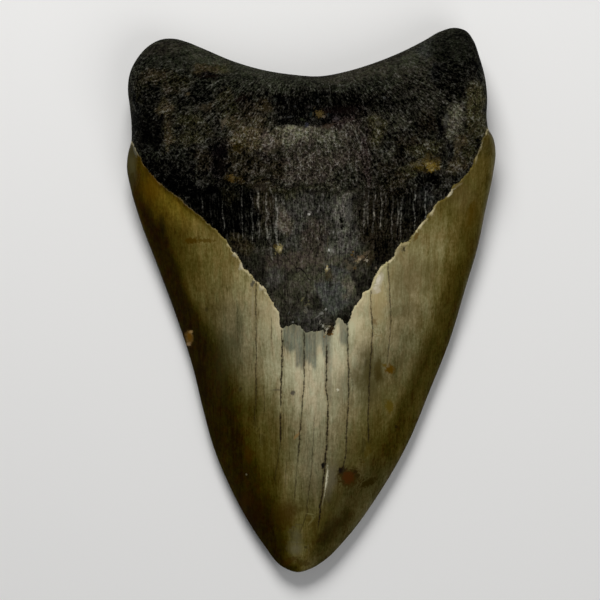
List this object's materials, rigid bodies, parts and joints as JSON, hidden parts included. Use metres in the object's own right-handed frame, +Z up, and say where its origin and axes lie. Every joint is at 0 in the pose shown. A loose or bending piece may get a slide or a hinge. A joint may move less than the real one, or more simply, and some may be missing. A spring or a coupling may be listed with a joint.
{
  "type": "fossil megalodon tooth",
  "caption": "Fossil megalodon tooth: a broad pointed crown with worn cutting edges under a thick two-lobed root, lying on its flatter face.",
  "frame": {"origin": "middle of the footprint, on the plane that the tooth lies on", "axes": "+X across the tooth, to the right of someone who looks at the convex face with the root away from them; +Y from the tip to the root; +Z up, out of the convex (lingual) face"},
  "size_m": [0.091, 0.1344, 0.0261],
  "materials": {
    "fossil": "satin olive-grey enamel crown under a matt, finely porous black-brown root"
  },
  "bodies": {
    "root": {"tooth": "fossil"}
  },
  "joints": []
}
